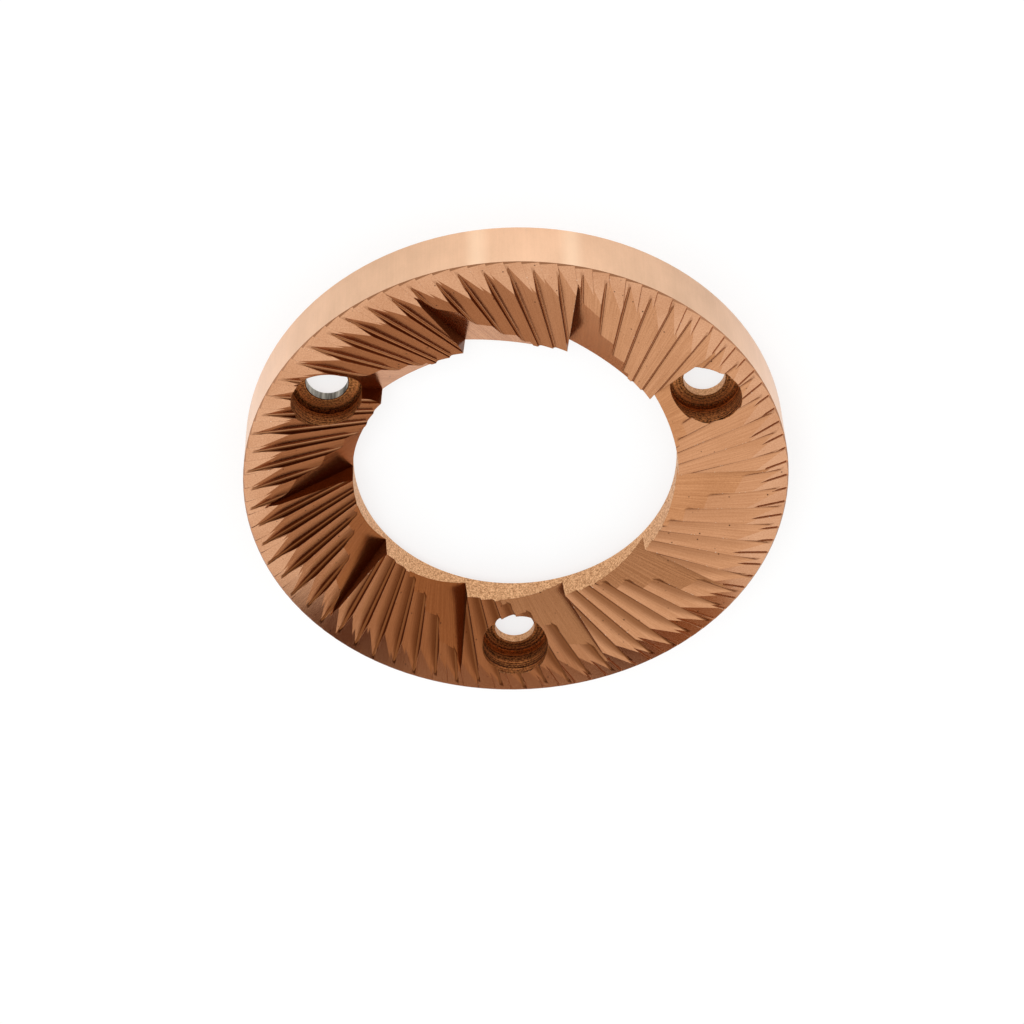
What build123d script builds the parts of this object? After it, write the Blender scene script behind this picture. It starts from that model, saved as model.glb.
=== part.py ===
"""Flat grinding burr for a coffee mill: one hardened steel ring, teeth up, lying on its back.

The toothed face carries three kinds of cut, all of them straight passes that miss the axis by a set
offset: a few deep breaker steps that draw the beans in from the bore, the main grooves that fade out
towards the rim, and the fine saw teeth on the land round the rim. Three counterbored holes take the
screws. Millimetres and degrees, back of the ring on Z = 0, axis on Z.
"""

import os
from math import asin, cos, degrees, pi, radians, sin, sqrt, tan

from build123d import *

# Ring
outer_diameter = 64.0
bore_diameter = 38.4
thickness = 7.0
rim_chamfer = 0.22
back_seat_width = 3.0
recess_depth = 1.45

# Screw holes
screw_count = 3
screw_inset = 6.75
screw_hole = 4.9
screw_seat = 8.1
seat_depth = 4.35
screw_angle = -90.0

# Breaker steps
breaker_count = 10
breaker_angle = 4.87
breaker_offset = 4.8
breaker_margin = 2.2
breaker_slope = 23.1
breaker_floor_angle = 26.0
breaker_wall_lean = 5.9
breaker_width = 7.0

# Main grooves
grooves_per_breaker = 7
groove_angle = 4.6
groove_offset = 8.22
groove_margin = 1.12
groove_slope = 10.24
groove_floor_angle = 20.5
groove_wall_angle = 69.7
groove_root_radius = 0.25

# Fine teeth
fine_per_breaker = 10
fine_angle = 2.91
fine_offset = 10.14
fine_depth = 0.17
fine_land = 0.2

outer_radius = outer_diameter / 2
bore_radius = bore_diameter / 2
recess_radius = outer_radius - back_seat_width
screw_radius = outer_radius - screw_inset
middle_radius = (outer_radius + bore_radius) / 2
groove_count = breaker_count * grooves_per_breaker
fine_count = breaker_count * fine_per_breaker


def along(radius, offset):
    """Distance from the foot of a pass that misses the axis by offset to the given radius."""
    return sqrt(radius**2 - offset**2)


def turn(radius, offset, angle):
    """Turn that brings a pass made along X to the given angle at the given radius."""
    return angle + degrees(asin(offset / radius))


def pass_plane(end_radius, offset, depth, slope):
    """Plane square to a pass along X, beyond the rim, with its origin on the line of the cut."""
    fall = radians(slope)
    rise = (outer_radius - along(end_radius, offset)) * tan(fall)
    start = (outer_radius, -offset, thickness - depth + rise)
    return Plane(start, x_dir=(0, 1, 0), z_dir=(cos(fall), 0, sin(fall)))


def pass_length(slope):
    """Length of a pass from beyond the rim to well inside the bore."""
    return (outer_radius - bore_radius / 2) / cos(radians(slope))


# One breaker step: a sloping floor that ends at an almost upright wall
breaker_end = outer_radius - breaker_margin
with BuildPart() as breaker_cutter:
    with BuildSketch(pass_plane(breaker_end, breaker_offset, 0, breaker_slope)):
        with BuildLine():
            Polyline(
                (0, 0),
                (thickness * tan(radians(breaker_wall_lean)), thickness),
                (-breaker_width, thickness),
                (-breaker_width, breaker_width * tan(radians(breaker_floor_angle))),
                close=True,
            )
        make_face()
    extrude(amount=-pass_length(breaker_slope))

# One main groove: a wide floor and a steep wall that meet in a rounded root
groove_end = outer_radius - groove_margin
groove_pitch = pi * outer_diameter / groove_count
with BuildPart() as groove_cutter:
    with BuildSketch(pass_plane(groove_end, groove_offset, fine_depth, groove_slope)) as groove_section:
        with BuildLine():
            Polyline(
                (0, 0),
                (thickness / tan(radians(groove_wall_angle)), thickness),
                (-groove_pitch, thickness),
                (-groove_pitch, groove_pitch * tan(radians(groove_floor_angle))),
                close=True,
            )
        make_face()
        fillet(groove_section.vertices().sort_by(Axis.Y)[0], groove_root_radius)
    extrude(amount=-pass_length(groove_slope))

# One fine tooth: a shallow facet that rises away from a small upright step to a narrow land
fine_pitch = pi * outer_diameter / fine_count
facet_rise = fine_depth / (fine_pitch - fine_land)
with BuildPart() as fine_cutter:
    with BuildSketch(pass_plane(outer_radius, fine_offset, fine_depth, 0)):
        with BuildLine():
            Polyline(
                (0, 0),
                (fine_pitch, fine_pitch * facet_rise),
                (fine_pitch, 2 * fine_depth),
                (0, 2 * fine_depth),
                close=True,
            )
        make_face()
    extrude(amount=along(middle_radius, fine_offset) - outer_radius)

# The ring, turned from its half section, then cut
with BuildPart() as burr:
    with BuildSketch(Plane.XZ):
        with BuildLine():
            Polyline(
                (bore_radius, recess_depth),
                (bore_radius, thickness),
                (outer_radius - rim_chamfer, thickness),
                (outer_radius, thickness - rim_chamfer),
                (outer_radius, 0),
                (recess_radius, 0),
                (recess_radius, recess_depth),
                close=True,
            )
        make_face()
    revolve(axis=Axis.Z)

    with PolarLocations(0, fine_count, turn(outer_radius, fine_offset, fine_angle)):
        add(fine_cutter.part, mode=Mode.SUBTRACT)
    with PolarLocations(0, groove_count, turn(groove_end, groove_offset, groove_angle)):
        add(groove_cutter.part, mode=Mode.SUBTRACT)
    with PolarLocations(0, breaker_count, turn(breaker_end, breaker_offset, breaker_angle)):
        add(breaker_cutter.part, mode=Mode.SUBTRACT)

    with Locations((0, 0, thickness)):
        with PolarLocations(screw_radius, screw_count, screw_angle):
            CounterBoreHole(screw_hole / 2, screw_seat / 2, seat_depth)

burr.part.label = "burr"

os.makedirs("parts", exist_ok=True)
export_step(burr.part, "parts/burr.step")
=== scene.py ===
# %% [markdown]
# # A flat grinding burr, lying on its back
# A burr is one ring of hardened steel. Its whole shape, with every tooth, comes from the CAD frame, so this
# lesson adds no geometry to it. It gives the ring its copper-coloured coating, with a finish of its own for
# the ground teeth, the rim, the bore and the screw seats, and then a pale floor, soft light and a camera.
# Lengths are in millimetres in the coating's arithmetic and in metres everywhere else.

# %% Load the frame
import math

import bpy
from mathutils import Euler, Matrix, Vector

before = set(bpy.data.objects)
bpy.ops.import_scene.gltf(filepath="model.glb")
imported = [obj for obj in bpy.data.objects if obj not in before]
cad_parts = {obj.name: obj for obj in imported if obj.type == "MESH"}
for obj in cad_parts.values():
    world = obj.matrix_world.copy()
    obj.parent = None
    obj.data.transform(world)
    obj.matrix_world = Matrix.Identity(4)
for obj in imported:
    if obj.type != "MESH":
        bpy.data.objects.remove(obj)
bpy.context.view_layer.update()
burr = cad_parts["burr"]
scene = bpy.context.scene

# %% [markdown]
# ## Helpers for node trees
# A material is a chain of small nodes. A few helpers keep the cells short: one makes a node and plugs its
# inputs, some do arithmetic, one turns a value into a mask with a soft edge, and two mix by a mask. A mask
# is 0 where a finish is absent and 1 where it is full. A soft edge is a pair: where the change starts and
# ends.


# %% Helpers for nodes and arithmetic
def plug(tree, socket, value):
    """Links an output to a socket, or sets the socket to a plain value."""
    if isinstance(value, bpy.types.NodeSocket):
        tree.links.new(value, socket)
    else:
        socket.default_value = value


def node(tree, kind, inputs=None, **settings):
    """Makes a node, sets its properties and plugs its inputs."""
    made = tree.nodes.new("ShaderNode" + kind)
    for name, value in settings.items():
        setattr(made, name, value)
    for name, value in (inputs or {}).items():
        plug(tree, made.inputs[name], value)
    return made


def maths(tree, operation, a, b=0.0):
    """One arithmetic node."""
    return node(tree, "Math", {0: a, 1: b}, operation=operation).outputs[0]


def times(tree, first, *others):
    """All the values multiplied together."""
    for other in others:
        first = maths(tree, "MULTIPLY", first, other)
    return first


def less(tree, a, b):
    """a less b."""
    return maths(tree, "SUBTRACT", a, b)


def length_of(tree, vector):
    """Length of a vector."""
    return node(tree, "VectorMath", {0: vector}, operation="LENGTH").outputs["Value"]


print("helpers for nodes ready")


# %% Helpers for masks and mixing
def step(tree, value, edge):
    """0 before the soft edge, 1 past it, and a smooth step between."""
    inputs = {"Value": value, "From Min": edge[0], "From Max": edge[1]}
    return node(tree, "MapRange", inputs, interpolation_type="SMOOTHSTEP").outputs["Result"]


def below(tree, value, edge):
    """1 before the soft edge, 0 past it."""
    return less(tree, 1.0, step(tree, value, edge))


def mix_colour(tree, share, a, b):
    """Colour a where share is 0, colour b where it is 1."""
    return node(tree, "Mix", {0: share, 6: a, 7: b}, data_type="RGBA").outputs[2]


def mix_value(tree, share, a, b):
    """Value a where share is 0, value b where it is 1."""
    return node(tree, "Mix", {0: share, 2: a, 3: b}, data_type="FLOAT").outputs[0]


def blend_of(tree, *parts):
    """Adds masks, each times its share."""
    total = 0.0
    for mask, share in parts:
        total = maths(tree, "ADD", times(tree, mask, share), total)
    return total


print("helpers for masks ready")


# %% Helpers for groups
def new_group(name, inputs=(), outputs=()):
    """An empty group with named sockets: its tree, its inputs, and a function that plugs its outputs."""
    tree = bpy.data.node_groups.new(name, "ShaderNodeTree")
    for socket, kind, value in inputs:
        made = tree.interface.new_socket(socket, in_out="INPUT", socket_type="NodeSocket" + kind)
        made.default_value = value
    for socket, kind in outputs:
        tree.interface.new_socket(socket, in_out="OUTPUT", socket_type="NodeSocket" + kind)
    given = tree.nodes.new("NodeGroupInput").outputs
    results = tree.nodes.new("NodeGroupOutput").inputs
    return tree, given, lambda socket, value: plug(tree, results[socket], value)


def use_group(tree, group, inputs=None):
    """Places a group in a tree, plugs its inputs and gives its outputs."""
    made = tree.nodes.new("ShaderNodeGroup")
    made.node_tree = group
    for name, value in (inputs or {}).items():
        plug(tree, made.inputs[name], value)
    return made.outputs


print("helpers for groups ready")

# %% [markdown]
# ## Where a point is on the ring
# The burr is one piece, so it has one material, and the finish changes with the place: teeth, rim, bore,
# screw seats, back. Separate materials would need the faces split up, and the CAD mesh stays as it is. So a
# first group measures each point in millimetres: its radius, its angle, its height, how far its face looks
# up, and its distance from the nearest screw axis. The three screws are alike, so folding the angle into
# one third of a turn gives that distance with a single cosine rule.

# %% Measures of the ring
BORE_RADIUS = 19.2
RIM_RADIUS = 32.0
SCREW_CIRCLE = 25.25
SCREW_ANGLE = math.radians(-90)
SCREW_HOLE = 2.45
SCREW_SEAT = 4.05
THIRD = 2 * math.pi / 3
MM_PER_METRE = 1000.0
print("rim", RIM_RADIUS, "bore", BORE_RADIUS, "screw circle", SCREW_CIRCLE)

# %% Group for the place on the ring
place, _, give = new_group(
    "place on the ring",
    outputs=[
        ("Millimetres", "Vector"),
        ("Radius", "Float"),
        ("Angle", "Float"),
        ("Height", "Float"),
        ("Facing", "Float"),
        ("From screw", "Float"),
    ],
)
coordinates = node(place, "TexCoord").outputs
scaling = {0: coordinates["Object"], "Scale": MM_PER_METRE}
millimetres = node(place, "VectorMath", scaling, operation="SCALE").outputs[0]
x, y, z = node(place, "SeparateXYZ", {0: millimetres}).outputs
radius = length_of(place, node(place, "CombineXYZ", {0: x, 1: y}).outputs[0])
angle = maths(place, "ARCTAN2", y, x)
turned = less(place, angle, SCREW_ANGLE - THIRD / 2)
folded = less(place, maths(place, "FLOORED_MODULO", turned, THIRD), THIRD / 2)
across = times(place, maths(place, "COSINE", folded), times(place, radius, 2 * SCREW_CIRCLE))
squares = maths(place, "ADD", times(place, radius, radius), SCREW_CIRCLE**2)
from_screw = maths(place, "SQRT", maths(place, "MAXIMUM", less(place, squares, across), 0.0))
give("Millimetres", millimetres)
give("Radius", radius)
give("Angle", angle)
give("Height", z)
give("Facing", node(place, "SeparateXYZ", {0: coordinates["Normal"]}).outputs["Z"])
give("From screw", from_screw)
print("group:", place.name, [s.name for s in place.interface.items_tree])

# %% [markdown]
# ## Tool marks
# Every face of the ring was cut by a tool that left fine parallel lines: straight lines along each groove
# from the grinding wheel, rings in the screw seats from the counterbore, rings on the back from the lathe.
# They are all the same thing, a noise that changes fast across the lines and slowly along them, so one
# group makes them from two coordinates, across and along.

# %% Group for tool marks
ALONG_PER_MM = 0.12
MARK_EDGE = (0.25, 0.75)
marks, given, give = new_group(
    "tool marks",
    inputs=[("Across", "Float", 0.0), ("Along", "Float", 0.0), ("Lines per mm", "Float", 6.0)],
    outputs=[("Marks", "Float")],
)
fast = times(marks, given["Across"], given["Lines per mm"])
slow = times(marks, given["Along"], ALONG_PER_MM)
line_place = node(marks, "CombineXYZ", {0: fast, 1: slow}).outputs[0]
lines = node(marks, "TexNoise", {"Vector": line_place, "Scale": 1.0, "Detail": 3.0, "Roughness": 0.6})
give("Marks", step(marks, lines.outputs[0], MARK_EDGE))
print("group:", marks.name)

# %% [markdown]
# ## Grain
# The coating isn't mirror smooth. Under it the steel has a fine grain, with tiny pits here and there, which
# shows as specks on the lands and as a sandy look in the bore. A group gives three things: the grain
# itself, a slow drift in tone, and the sparse pits. Pits are the centres of random cells, and a random
# value of the cell says which of them show.

# %% Group for grain
GRAIN_EDGE = (0.3, 0.7)
DRIFT_PER_MM = 0.16
CELLS_PER_MM = 0.9
PIT_EDGE = (0.06, 0.12)
PIT_CHANCE = (0.15, 0.7)
grain, given, give = new_group(
    "grain",
    inputs=[("Millimetres", "Vector", (0.0, 0.0, 0.0)), ("Grains per mm", "Float", 5.0)],
    outputs=[("Grain", "Float"), ("Drift", "Float"), ("Pits", "Float")],
)
point = given["Millimetres"]
fine_scale = given["Grains per mm"]
fine = node(grain, "TexNoise", {"Vector": point, "Scale": fine_scale, "Detail": 4.0, "Roughness": 0.7})
give("Grain", step(grain, fine.outputs[0], GRAIN_EDGE))
broad = node(grain, "TexNoise", {"Vector": point, "Scale": DRIFT_PER_MM, "Detail": 2.0})
give("Drift", step(grain, broad.outputs[0], GRAIN_EDGE))
cells = node(grain, "TexVoronoi", {"Vector": point, "Scale": CELLS_PER_MM, "Randomness": 1.0})
dots = below(grain, cells.outputs["Distance"], PIT_EDGE)
chance = node(grain, "SeparateColor", {0: cells.outputs["Color"]}).outputs[0]
give("Pits", times(grain, dots, step(grain, chance, PIT_CHANCE)))
print("group:", grain.name)

# %% [markdown]
# ## The coating
# The base is a copper-coloured metal. The teeth are ground and satin, the rim is smoother and paler, the
# bore is sandy and golden, and the seats are left rough and dark by the counterbore. One mask per finish
# says where it is. Most masks come from how far a face looks up, which is 1 on the flat lands, about 0.92
# on the groove floors, 0.83 on the breaker floors, 0.34 on the groove walls and 0 on the rim and the bore.

# %% Masks for the kinds of face
UPRIGHT_EDGE = (0.2, 0.4)
STEEP_EDGE = (0.3, 0.6)
BREAKER_EDGE = (0.85, 0.89)
CHAMFER_EDGE = (0.85, 0.95)
CUT_EDGE = (0.95, 0.985)
BACK_EDGE = (-0.6, -0.4)
FINE_TEETH_EDGE = (6.78, 6.82)
# Just inside the chamfer
RIM_EDGE = (RIM_RADIUS - 0.26, RIM_RADIUS - 0.24)

coating = bpy.data.materials.new("coated_steel")
coating.use_nodes = True
tree = coating.node_tree
surface = tree.nodes["Principled BSDF"]
spot = use_group(tree, place)
outside = step(tree, spot["Radius"], RIM_EDGE)
on_rim = times(tree, outside, below(tree, maths(tree, "ABSOLUTE", spot["Facing"]), UPRIGHT_EDGE))
on_chamfer = times(tree, outside, below(tree, spot["Facing"], CHAMFER_EDGE))
cut = below(tree, spot["Facing"], CUT_EDGE)
on_breaker = below(tree, spot["Facing"], BREAKER_EDGE)
steep = below(tree, spot["Facing"], STEEP_EDGE)
on_back = below(tree, spot["Facing"], BACK_EDGE)
fine_step = times(tree, steep, step(tree, spot["Height"], FINE_TEETH_EDGE))
on_step = maths(tree, "MAXIMUM", on_chamfer, fine_step)
print("masks for rim, chamfer, teeth and back ready")

# %% [markdown]
# The bore and the screw holes are found by distance, a hair past their walls so that the walls lie well
# inside the masks. In one of the holes a screw has rubbed the coating off, down to the steel. It is the
# only hole at such an angle, so the angle picks it out.


# %% Masks for the bore and the screw holes
def just_past(size):
    """A soft edge a hair past a wall of the given size."""
    start, end = 0.01, 0.03
    return size + start, size + end


WORN_FROM = (1.9, 2.0)
in_bore = below(tree, spot["Radius"], just_past(BORE_RADIUS))
in_seat = below(tree, spot["From screw"], just_past(SCREW_SEAT))
in_hole = below(tree, spot["From screw"], just_past(SCREW_HOLE))
worn_hole = times(tree, in_hole, step(tree, spot["Angle"], WORN_FROM))
print("masks for bore and holes ready")

# %% [markdown]
# Two masks need the shape round a point. Corners get painted shade, and ridges show wear with pale specks
# that are partly painted highlight. An ambient occlusion node looks round each point: outside the metal it
# finds the corners where a breaker floor meets its wall, and inside the metal it finds the thin ridges
# between the grooves.

# %% Masks for corners and ridges
OCCLUSION_SAMPLES = 6
CORNER_REACH = 0.0015
RIDGE_REACH = 0.00013
CORNER_EDGE = (0.48, 0.9)
RIDGE_EDGE = (0.4, 0.9)
CORNER_SHADE_SHARE = 0.5


def looks_round(reach, **settings):
    """How open the surroundings of a point are, within a reach in metres."""
    settings = {"samples": OCCLUSION_SAMPLES, "only_local": True, **settings}
    return node(tree, "AmbientOcclusion", {"Distance": reach}, **settings).outputs["AO"]


# Painted shade where a breaker floor meets its wall
near_corner = below(tree, looks_round(CORNER_REACH), CORNER_EDGE)
corner_shade = times(tree, near_corner, times(tree, on_breaker, CORNER_SHADE_SHARE))
on_ridge = below(tree, looks_round(RIDGE_REACH, inside=True), RIDGE_EDGE)
print("masks for corners and ridges ready")

# %% [markdown]
# ## Marks on the ring
# The grinding wheel runs along straight passes that miss the axis by a fixed offset. All the lines that
# miss the axis by one offset are tangents of one circle, so the turn of the tangent through a point, its
# angle plus the arc sine of offset over radius, is the coordinate across the marks.

# %% Marks of the grinding wheel
GROOVE_OFFSET = 8.22
MIDDLE_RADIUS = 25.0


def marks_of(across, along, lines_per_mm):
    """Tool marks across and along the given coordinates."""
    inputs = {"Across": across, "Along": along, "Lines per mm": lines_per_mm}
    return use_group(tree, marks, inputs)["Marks"]


tangent = maths(tree, "ARCSINE", maths(tree, "DIVIDE", GROOVE_OFFSET, spot["Radius"]))
pass_turn = maths(tree, "ADD", spot["Angle"], tangent)
ground = marks_of(times(tree, pass_turn, MIDDLE_RADIUS), spot["Radius"], lines_per_mm=7.0)
print("grinding marks miss the axis by", GROOVE_OFFSET, "mm")

# %% [markdown]
# The rim is turned and then rubbed by hands and by its seat in the mill, which leaves narrow streaks along
# the axis and fine scratches. Broad pale and dark waves round it and two bright streaks are painted
# reflections in its colour.

# %% Marks of the rim, and its painted reflections
# Painted reflections: broad waves that peak at one angle round the rim, and two bright streaks
REFLECTION_WAVES = 5
REFLECTION_WAVE_TOP = math.radians(87)
HIGHLIGHT_ANGLES = (math.radians(79), math.radians(98))
HIGHLIGHT_EDGE = (0.0, math.radians(3.2))


def painted_highlight_at(middle):
    """A painted highlight: a bright streak along the axis, at an angle round the rim."""
    return below(tree, maths(tree, "ABSOLUTE", less(tree, spot["Angle"], middle)), HIGHLIGHT_EDGE)


rim_across = times(tree, spot["Angle"], RIM_RADIUS)
streaks = marks_of(rim_across, spot["Height"], lines_per_mm=0.25)
scratches = marks_of(rim_across, spot["Height"], lines_per_mm=4.0)
reflection_wave_turn = times(tree, less(tree, spot["Angle"], REFLECTION_WAVE_TOP), REFLECTION_WAVES)
painted_reflection_wave = maths(tree, "ADD", times(tree, maths(tree, "COSINE", reflection_wave_turn), 0.5), 0.5)
painted_highlights = maths(tree, "ADD", painted_highlight_at(HIGHLIGHT_ANGLES[0]), painted_highlight_at(HIGHLIGHT_ANGLES[1]))
print("rim:", REFLECTION_WAVES, "waves and", len(HIGHLIGHT_ANGLES), "bright streaks")

# %% [markdown]
# The counterbore leaves rings on the wall and the floor of each seat, so their coordinate is the distance
# from the screw plus the height, which runs on round the corner. The worn hole is scored along its axis,
# and the lathe leaves rings on the back. Two grains, a finer and a coarser, finish the set.

# %% Marks of the seats, the worn hole and the back
seat_across = maths(tree, "ADD", spot["From screw"], spot["Height"])
bored = marks_of(seat_across, spot["Angle"], lines_per_mm=3.0)
sideways = node(tree, "SeparateXYZ", {0: spot["Millimetres"]}).outputs["X"]
scored = marks_of(sideways, spot["Height"], lines_per_mm=2.2)
faced = marks_of(spot["Radius"], spot["Angle"], lines_per_mm=5.0)
speckle = use_group(tree, grain, {"Millimetres": spot["Millimetres"], "Grains per mm": 5.5})
sand = use_group(tree, grain, {"Millimetres": spot["Millimetres"], "Grains per mm": 4.5})
print("marks and grains placed")

# %% [markdown]
# ## Painted shade in the grooves
# The foot of each groove, where the floor meets the wall, is painted with a dark brown band of shade, more
# on one side of the ring than on the other. Painting it by hand would need a picture. But the phase of the
# pass through a point says how far the next root is, and the fall of the groove says how high that root
# lies, so plain arithmetic follows every groove.

# %% Where the groove roots are
GROOVES = 70
FIRST_GROOVE = math.radians(20.04)
GROOVE_PITCH = 2 * math.pi / GROOVES
GROOVE_REACH = 29.766
GROOVE_END_HEIGHT = 6.83
GROOVE_RISE = math.tan(math.radians(10.24))
phase = maths(tree, "DIVIDE", less(tree, pass_turn, FIRST_GROOVE), GROOVE_PITCH)
to_root = times(tree, less(tree, 1.0, maths(tree, "FRACT", phase)), GROOVE_PITCH)
pass_reach = times(tree, spot["Radius"], maths(tree, "COSINE", tangent))
from_root = times(tree, to_root, pass_reach)
past_root = less(tree, times(tree, pass_reach, GROOVE_PITCH), from_root)
climb = times(tree, less(tree, pass_reach, GROOVE_REACH), GROOVE_RISE)
over_root = less(tree, less(tree, spot["Height"], GROOVE_END_HEIGHT), climb)
print(GROOVES, "roots, which end", GROOVE_REACH, "mm along the pass")

# %% [markdown]
# The painted shade is widest on the floor, tapers with the groove towards the rim, and is fainter right at
# the root. A faint line of it runs along all the roots.


# %% Painted shade on the groove floors
def towards(middle):
    """1 on the side of the ring at the given angle, -1 on the other side."""
    return maths(tree, "COSINE", less(tree, spot["Angle"], middle))


ROOT_BAND_WIDTH = 1.55
ROOT_BAND_END_WIDTH = 0.35
ROOT_BAND_TAPER = (26.0, 31.5)
ROOT_BAND_EDGE = (0.25, 1.0)
ROOT_EDGE = (0.15, 0.3)
ROOT_BAND_AT_ROOT, ROOT_BAND_ON_FLOOR = 0.6, 0.74
SHADED_SIDE = math.radians(250)
SIDE_EDGE = (-0.4, 0.65)
LINE_EDGE = (0.2, 0.45)
LINE_SHARE = 0.22
FLOOR_EDGE = (0.86, 0.9)
LAND_HEIGHT = (6.7, 6.82)
taper = mix_value(tree, step(tree, spot["Radius"], ROOT_BAND_TAPER), ROOT_BAND_WIDTH, ROOT_BAND_END_WIDTH)
root_band_shade = below(tree, maths(tree, "DIVIDE", from_root, taper), ROOT_BAND_EDGE)
root_band_share = mix_value(tree, step(tree, from_root, ROOT_EDGE), ROOT_BAND_AT_ROOT, ROOT_BAND_ON_FLOOR)
shaded_side = step(tree, towards(SHADED_SIDE), SIDE_EDGE)
root_band_shade = times(tree, root_band_shade, root_band_share, shaded_side)
root_shade_line = times(tree, below(tree, from_root, LINE_EDGE), LINE_SHARE)
on_floor = times(tree, step(tree, spot["Facing"], FLOOR_EDGE), below(tree, spot["Height"], LAND_HEIGHT))
root_band_shade = times(tree, maths(tree, "MAXIMUM", root_band_shade, root_shade_line), on_floor)
print("root_band_shade", ROOT_BAND_WIDTH, "mm wide")

# %% [markdown]
# The rounded foot itself is painted darkest, on both sides of the root. Its height over the root keeps it
# off the breaker floors, which cut the grooves away. On one side of the ring the walls get less painted
# shade, so they stay paler.

# %% Painted shade in the rounded foot
FOOT_EDGE = (0.2, 0.34)
WALL_SIDE_SCALE = 2.0
FOOT_FROM = (-0.02, 0.05)
FOOT_UP_TO = (0.16, 0.24)
FOOT_SHADE_LIGHT, FOOT_SHADE_DARK = 0.3, 0.95
# The side of the ring where the walls get less painted shade
LIGHTER_WALL_SIDE = math.radians(40)
LIGHTER_WALL_EDGE = (0.8, 0.96)
beside_root = maths(tree, "MINIMUM", from_root, times(tree, past_root, WALL_SIDE_SCALE))
foot_shade = times(tree, below(tree, beside_root, FOOT_EDGE), step(tree, over_root, FOOT_FROM))
foot_shade = times(tree, foot_shade, below(tree, over_root, FOOT_UP_TO))
foot_shade = times(tree, foot_shade, mix_value(tree, shaded_side, FOOT_SHADE_LIGHT, FOOT_SHADE_DARK))
painted_groove_shade = maths(tree, "MAXIMUM", corner_shade, maths(tree, "MAXIMUM", root_band_shade, foot_shade))
lighter_walls = step(tree, towards(LIGHTER_WALL_SIDE), LIGHTER_WALL_EDGE)
# The masks above paint shade into the groove roots and the breaker corners
print("residue masks ready")

# %% [markdown]
# ## Colours
# Metal takes its colour from what it mirrors, so each colour below is what a white room looks like in that
# finish, apart from the painted shades and highlights. A finish that varies has a low and a high colour,
# and a tone made of marks and grain runs between them. The finishes and the painted shades are then laid
# over one another, each by its mask, from the lands to the back.

# %% Colours of the finishes
LAND = ((0.58, 0.275, 0.14, 1), (0.76, 0.415, 0.24, 1))
CUT = ((0.51, 0.225, 0.10, 1), (0.72, 0.362, 0.188, 1))
BREAKER = ((0.46, 0.188, 0.074, 1), (0.72, 0.346, 0.163, 1))
# Near black: painted shade on the steep walls, which wear the same coating as the floors
WALL_SHADE = ((0.085, 0.025, 0.007, 1), (0.16, 0.05, 0.015, 1))
RIM = ((0.60, 0.36, 0.21, 1), (0.90, 0.55, 0.34, 1))
GOLD = ((0.44, 0.20, 0.08, 1), (1.0, 0.60, 0.32, 1))
STEEL = ((0.06, 0.05, 0.035, 1), (0.66, 0.62, 0.54, 1))
SEAT = ((0.02, 0.005, 0.001, 1), (0.80, 0.33, 0.11, 1))
PIT = (0.08, 0.03, 0.012, 1)
# Brown of the painted shade at the groove roots and the breaker corners
GROOVE_SHADE = (0.19, 0.06, 0.016, 1)
# Brown of worn ridges, also painted as shade on the fine steps and on the chamfer
EDGE_WEAR_AND_SHADE = (0.38, 0.17, 0.08, 1)
# Pale specks on the ridges: chipped edges, partly a painted highlight
CHIP_GLINT = (1.0, 0.84, 0.68, 1)
# Colour of the two painted highlights on the rim
HIGHLIGHT_COLOUR = (1.0, 0.74, 0.51, 1)
print("colours chosen")

# %% Tones of the finishes
SEAT_EDGE = (0.12, 0.88)
CHIP_GLINT_EDGE = (0.84, 0.93)
land_tone = blend_of(tree, (speckle["Grain"], 0.6), (speckle["Drift"], 0.4))
cut_tone = blend_of(tree, (ground, 0.55), (speckle["Grain"], 0.3), (speckle["Drift"], 0.15))
# Half of the rim's tone is the painted reflection wave
rim_tone = blend_of(tree, (painted_reflection_wave, 0.5), (streaks, 0.3), (scratches, 0.1), (speckle["Grain"], 0.1))
seat_tone = step(tree, blend_of(tree, (bored, 0.55), (sand["Grain"], 0.45)), SEAT_EDGE)
hole_tone = times(tree, sand["Grain"], 0.75)
back_tone = blend_of(tree, (faced, 0.6), (speckle["Drift"], 0.4))
chips_and_glints = step(tree, sand["Grain"], CHIP_GLINT_EDGE)
print("tones mixed")

# %% Lay the finishes and the painted shades over one another
PIT_SHARE = 0.85
LIGHTER_WALL_SHARE = 0.5
HIGHLIGHT_SHARE = 0.42
RIDGE_SHARE, CHIP_GLINT_SHARE = 0.5, 0.95
STEP_DULLNESS = 0.6
# The walls are painted shade, paler on one side of the ring
wall = mix_colour(tree, times(tree, lighter_walls, LIGHTER_WALL_SHARE), mix_colour(tree, cut_tone, *WALL_SHADE), CUT[0])
# The rim takes its two painted highlights here
rim = mix_colour(tree, times(tree, painted_highlights, HIGHLIGHT_SHARE), mix_colour(tree, rim_tone, *RIM), HIGHLIGHT_COLOUR)
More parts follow.
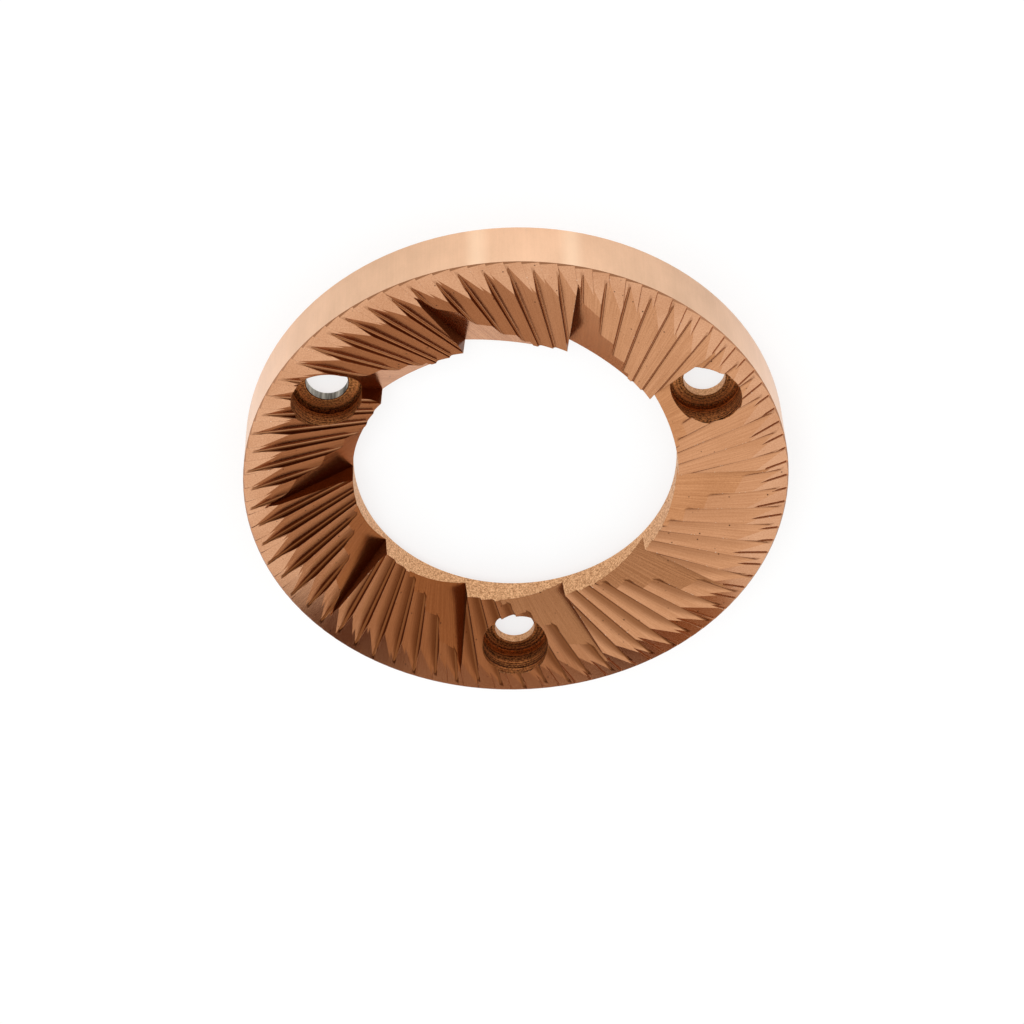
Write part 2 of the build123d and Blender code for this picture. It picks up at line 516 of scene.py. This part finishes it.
# Ridges: brown edge wear, with pale specks that are partly a painted highlight
worn_glinting_ridge = times(tree, on_ridge, mix_value(tree, chips_and_glints, RIDGE_SHARE, CHIP_GLINT_SHARE))
layers = [
    (cut, mix_colour(tree, cut_tone, *CUT)),
    (on_breaker, mix_colour(tree, cut_tone, *BREAKER)),
    (steep, wall),
    (times(tree, speckle["Pits"], PIT_SHARE), PIT),
    # Painted shade at the groove roots and in the breaker corners
    (painted_groove_shade, GROOVE_SHADE),
    (worn_glinting_ridge, mix_colour(tree, chips_and_glints, EDGE_WEAR_AND_SHADE, CHIP_GLINT)),
    # Painted shade on the fine steps, which are also duller; the chamfer takes the same dark brown
    (on_step, EDGE_WEAR_AND_SHADE),
    (on_rim, rim),
    (in_bore, mix_colour(tree, sand["Grain"], *GOLD)),
    (in_seat, mix_colour(tree, seat_tone, *SEAT)),
    (in_hole, mix_colour(tree, hole_tone, *GOLD)),
    (worn_hole, mix_colour(tree, scored, *STEEL)),
    (on_back, mix_colour(tree, back_tone, *CUT)),
]
colour = mix_colour(tree, land_tone, *LAND)
for mask, finish in layers:
    colour = mix_colour(tree, mask, colour, finish)
plug(tree, surface.inputs["Base Color"], colour)
plug(tree, surface.inputs["Metallic"], less(tree, 1.0, times(tree, on_step, STEP_DULLNESS)))
print("finishes laid over the lands:", len(layers))

# %% [markdown]
# ## Gloss
# The lands are lapped almost bright, the ground faces are satin, and the bore and the seats are dull. Each
# gets a low and a high roughness, which follow the same tones as the colours. A very shallow bump, a few
# thousandths of a millimetre, lets the marks catch the light. Real grooves that fine would need millions of
# faces.

# %% Roughness
LAND_ROUGH = (0.16, 0.13)
# Mask, tone, roughness where the tone is low and where it is high
rough_layers = [
    (cut, cut_tone, 0.26, 0.18),
    (on_rim, rim_tone, 0.36, 0.28),
    (in_bore, sand["Grain"], 0.6, 0.45),
    (in_seat, seat_tone, 0.6, 0.45),
    (on_back, back_tone, 0.42, 0.32),
]
rough = mix_value(tree, speckle["Drift"], *LAND_ROUGH)
for mask, tone, low, high in rough_layers:
    rough = mix_value(tree, mask, rough, mix_value(tree, tone, low, high))
plug(tree, surface.inputs["Roughness"], rough)
print("roughness layers:", len(rough_layers))

# %% Bump
BUMP_DEPTH = 6e-6
BUMP_STRENGTH = 0.5
LAND_BUMP = 0.3
height = times(tree, ground, mix_value(tree, cut, LAND_BUMP, 1.0))
bumps = [(on_rim, speckle["Grain"]), (in_bore, sand["Grain"]), (in_seat, seat_tone), (on_back, faced)]
for mask, relief in bumps:
    height = mix_value(tree, mask, height, relief)
bump = node(tree, "Bump", {"Strength": BUMP_STRENGTH, "Distance": BUMP_DEPTH, "Height": height})
plug(tree, surface.inputs["Normal"], bump.outputs[0])
burr.data.materials.clear()
burr.data.materials.append(coating)
print("material:", coating.name, len(tree.nodes), "nodes")

# %% [markdown]
# ## The floor
# The ring lies on a plain white table. The table has to read as white in the picture and in the mirror of
# the metal, and still take a soft shadow. So for those rays most of it glows at a strength of 1, which is
# white, and the rest is ordinary matt paint, which the shadow falls on.

# %% Floor
FLOOR_SIZE = 8.0
GLOW_SHARE = 0.75
TABLE_PAINT = (0.9, 0.9, 0.9, 1)
WHITE = (1, 1, 1, 1)
bpy.ops.mesh.primitive_plane_add(size=FLOOR_SIZE)
floor = bpy.context.object
floor.name = "floor"
paint = bpy.data.materials.new("white_table")
paint.use_nodes = True
tree = paint.node_tree
tree.nodes.clear()
rays = node(tree, "LightPath").outputs
mirrored = maths(tree, "MAXIMUM", rays["Is Glossy Ray"], rays["Is Transmission Ray"])
seen = maths(tree, "MAXIMUM", rays["Is Camera Ray"], mirrored)
matt = node(tree, "BsdfDiffuse", {"Color": TABLE_PAINT}).outputs[0]
glow = node(tree, "Emission", {"Color": WHITE, "Strength": 1.0}).outputs[0]
table = node(tree, "MixShader", {0: times(tree, seen, GLOW_SHARE), 1: matt, 2: glow}).outputs[0]
node(tree, "OutputMaterial", {"Surface": table})
floor.data.materials.append(paint)
print("floor:", FLOOR_SIZE, "m square")

# %% [markdown]
# ## The room
# The room is white all round at a strength of 1, at which a colour renders about as it is written. The same
# white lights the ring, shows behind it and is what the metal mirrors, so one background shader does for
# all.

# %% World
world = bpy.data.worlds.new("studio")
scene.world = world
world.use_nodes = True
tree = world.node_tree
tree.nodes.clear()
room = node(tree, "Background", {"Color": WHITE, "Strength": 1.0})
node(tree, "OutputWorld", {"Surface": room.outputs[0]})
scene.view_settings.view_transform = "Standard"
print("world:", world.name)

# %% [markdown]
# ## Cards
# White all round would make the teeth look flat, because metal only shows what it mirrors. A studio shapes
# metal with cards that take the white out of some directions. These are there for the mirror of the metal
# alone: no view shows them, they throw no shadow, and they light nothing else. Each is a cloth of a plain
# shade that glows as brightly as it is written and fades out at its edges, so that no hard line shows in
# the metal.


# %% Helpers for cards
def card_cloth(name, weave):
    """Cloth that glows: weave makes its colour and its cover in the cloth's tree, and cover 0 is clear."""
    cloth = bpy.data.materials.new(name)
    cloth.use_nodes = True
    tree = cloth.node_tree
    tree.nodes.clear()
    colour, cover = weave(tree)
    clear = node(tree, "BsdfTransparent").outputs[0]
    shade = node(tree, "Emission", {"Color": colour, "Strength": 1.0}).outputs[0]
    faded = node(tree, "MixShader", {0: cover, 1: clear, 2: shade}).outputs[0]
    node(tree, "OutputMaterial", {"Surface": faded})
    return cloth


def hang(name, corners, faces, weave):
    """Puts a card in the scene, for the mirror of the metal alone."""
    mesh = bpy.data.meshes.new(name)
    mesh.from_pydata(corners, [], faces)
    mesh.materials.append(card_cloth(name, weave))
    made = bpy.data.objects.new(name, mesh)
    scene.collection.objects.link(made)
    made.visible_camera = False
    made.visible_diffuse = False
    made.visible_shadow = False
    return made


def way_to(turn, lift):
    """Unit vector from the ring, by degrees round it and degrees up."""
    t, u = math.radians(turn), math.radians(lift)
    return Vector((math.cos(t) * math.cos(u), math.sin(t) * math.cos(u), math.sin(u)))


print("helpers for cards ready")

# %% [markdown]
# A card can curve round the ring like a screen. It is a patch of a sphere, so that the same part of it
# shows wherever on the ring the mirror is, and its fade is worked out in degrees.

# %% Card curved round the ring
CARD_COLUMNS, CARD_ROWS = 24, 8
SCREEN_DISTANCE = 0.5


def round_card(name, turn, half_turn, high, colour, fade):
    """A screen, in degrees: where its middle stands, how far it goes round, how high, and how it fades."""
    corners, faces = [], []
    for j in range(CARD_ROWS + 1):
        for i in range(CARD_COLUMNS + 1):
            across = half_turn * (2 * i / CARD_COLUMNS - 1)
            corners.append(way_to(across, high * j / CARD_ROWS) * SCREEN_DISTANCE)
    row = CARD_COLUMNS + 1
    for j in range(CARD_ROWS):
        for first in range(j * row, j * row + CARD_COLUMNS):
            faces.append((first, first + 1, first + row + 1, first + row))

    def weave(tree):
        px, py, pz = node(tree, "SeparateXYZ", {0: node(tree, "TexCoord").outputs["Object"]}).outputs
        across = maths(tree, "ABSOLUTE", maths(tree, "DEGREES", maths(tree, "ARCTAN2", py, px)))
        up = maths(tree, "ARCSINE", maths(tree, "DIVIDE", pz, SCREEN_DISTANCE))
        sides = below(tree, across, (half_turn - fade, half_turn))
        top = below(tree, maths(tree, "DEGREES", up), (high - fade, high))
        return (*colour, 1), times(tree, sides, top)

    made = hang(name, corners, faces, weave)
    made.rotation_euler = (0, 0, math.radians(turn))
    return made


print("screens stand", SCREEN_DISTANCE, "m from the ring")

# %% [markdown]
# A card can also be a plain disc on a stand that faces the ring.

# %% Round card
DISC_SIDES = 48
DISC_DISTANCE = 0.4


def disc_card(name, turn, lift, half_angle, colour, fade):
    """A disc: the way to it and half the angle that it fills, in degrees, and the share that fades."""
    radius = DISC_DISTANCE * math.tan(math.radians(half_angle))
    corners = [(0, 0, 0)]
    for i in range(DISC_SIDES):
        a = 2 * math.pi * i / DISC_SIDES
        corners.append((radius * math.cos(a), radius * math.sin(a), 0))
    faces = [(0, i + 1, (i + 1) % DISC_SIDES + 1) for i in range(DISC_SIDES)]

    def weave(tree):
        reach = length_of(tree, node(tree, "TexCoord").outputs["Object"])
        return (*colour, 1), below(tree, reach, (radius * (1 - fade), radius))

    made = hang(name, corners, faces, weave)
    way = way_to(turn, lift)
    made.location = DISC_DISTANCE * way
    made.rotation_euler = (-way).to_track_quat("Z", "Y").to_euler()
    return made


print("discs stand", DISC_DISTANCE, "m from the ring")

# %% [markdown]
# The last kind hangs upright and close, like a curtain in folds: its shade changes from end to end, darker
# in the folds and paler between them. A colour ramp along its length does that.


# %% Curtain
def curtain(name, behind, outline, shades):
    """A flat card behind the ring, cut to an outline, with shades that change along it."""
    left, right = shades[0][0], shades[-1][0]

    def weave(tree):
        spot = node(tree, "TexCoord").outputs["Object"]
        along = node(tree, "SeparateXYZ", {0: spot}).outputs["X"]
        limits = {"Value": along, "From Min": left, "From Max": right}
        ramp = node(tree, "ValToRGB", {"Fac": node(tree, "MapRange", limits).outputs["Result"]})
        stops = ramp.color_ramp.elements
        stops.remove(stops[1])
        stops[0].color = (*shades[0][1], 1)
        for across, shade in shades[1:]:
            stops.new((across - left) / (right - left)).color = (*shade, 1)
        return ramp.outputs["Color"], 1.0

    corners = [(across, behind, up) for across, up in outline]
    return hang(name, corners, [tuple(range(len(corners)))], weave)


print("curtain helper ready")

# %% [markdown]
# Four cards do the work. One stands behind the camera, and the steep walls mirror it. A disc at one side
# and a low screen at the back give the groove floors their tones. The brown curtain hangs close behind the
# ring, and the lands and floors nearest to it mirror it.

# %% Place the cards
CAMERA_SHADE = (0.28, 0.22, 0.18)
SIDE_SHADE = (0.45, 0.31, 0.21)
BACK_SHADE = (0.52, 0.38, 0.28)
BROWN_BEHIND = -0.1
# Along the curtain and up it
BROWN_OUTLINE = [
    (-0.060, 0.106),
    (-0.014, 0.066),
    (0.033, 0.062),
    (0.033, 0.130),
    (-0.030, 0.132),
    (-0.060, 0.132),
]
# Along the curtain, and its shade there
BROWN_SHADES = [
    (-0.060, (0.10, 0.03, 0.006)),
    (-0.036, (0.08, 0.022, 0.003)),
    (-0.028, (0.30, 0.18, 0.11)),
    (0.002, (0.30, 0.18, 0.11)),
    (0.007, (0.08, 0.02, 0.0)),
    (0.012, (0.10, 0.025, 0.0)),
    (0.017, (0.22, 0.07, 0.01)),
    (0.023, (0.27, 0.11, 0.03)),
    (0.033, (0.45, 0.28, 0.17)),
]
cards = [
    round_card("camera_card", turn=100, half_turn=70, high=66, colour=CAMERA_SHADE, fade=9.0),
    disc_card("side_card", turn=-20, lift=38, half_angle=33, colour=SIDE_SHADE, fade=0.3),
    round_card("back_card", turn=-78, half_turn=42, high=31, colour=BACK_SHADE, fade=10.0),
    curtain("brown_card", BROWN_BEHIND, BROWN_OUTLINE, BROWN_SHADES),
]
print("cards:", [card.name for card in cards])

# %% [markdown]
# ## The lamp
# A white room alone gives hardly any shadow. One large soft lamp over the camera's shoulder puts a gentle
# one on the table. The metal doesn't mirror it, so it adds no glare to the teeth.

# %% Lamp
LAMP_PLACE = Vector((-0.35, 0.75, 1.1))
LAMP_SIZE = 0.7
LAMP_POWER = 6.0
light = bpy.data.lights.new("top_lamp", "AREA")
light.shape = "SQUARE"
light.size = LAMP_SIZE
light.energy = LAMP_POWER
top_lamp = bpy.data.objects.new("top_lamp", light)
scene.collection.objects.link(top_lamp)
top_lamp.location = LAMP_PLACE
top_lamp.rotation_euler = (-LAMP_PLACE).to_track_quat("-Z", "Y").to_euler()
top_lamp.visible_glossy = False
print("lamp:", top_lamp.name, LAMP_POWER, "W")

# %% [markdown]
# ## The camera
# The camera looks down on the toothed face at about fifty degrees, from the side of the ring that is at the
# top of the picture, so the rim shows along the upper edge. A long lens keeps the perspective gentle.

# %% Camera
CAMERA_PLACE = (-0.007127, 0.216275, 0.279274)
CAMERA_TURN = (-38.9025, -1.2493, 0.1823)
LENS = 104.151
SENSOR = 36.0
NEAREST = 0.01
camera = bpy.data.objects.new("camera", bpy.data.cameras.new("camera"))
scene.collection.objects.link(camera)
camera.location = CAMERA_PLACE
camera.rotation_euler = Euler([math.radians(a) for a in CAMERA_TURN])
camera.data.lens = LENS
camera.data.sensor_width = SENSOR
camera.data.clip_start = NEAREST
scene.camera = camera
print("camera lens:", LENS, "mm")
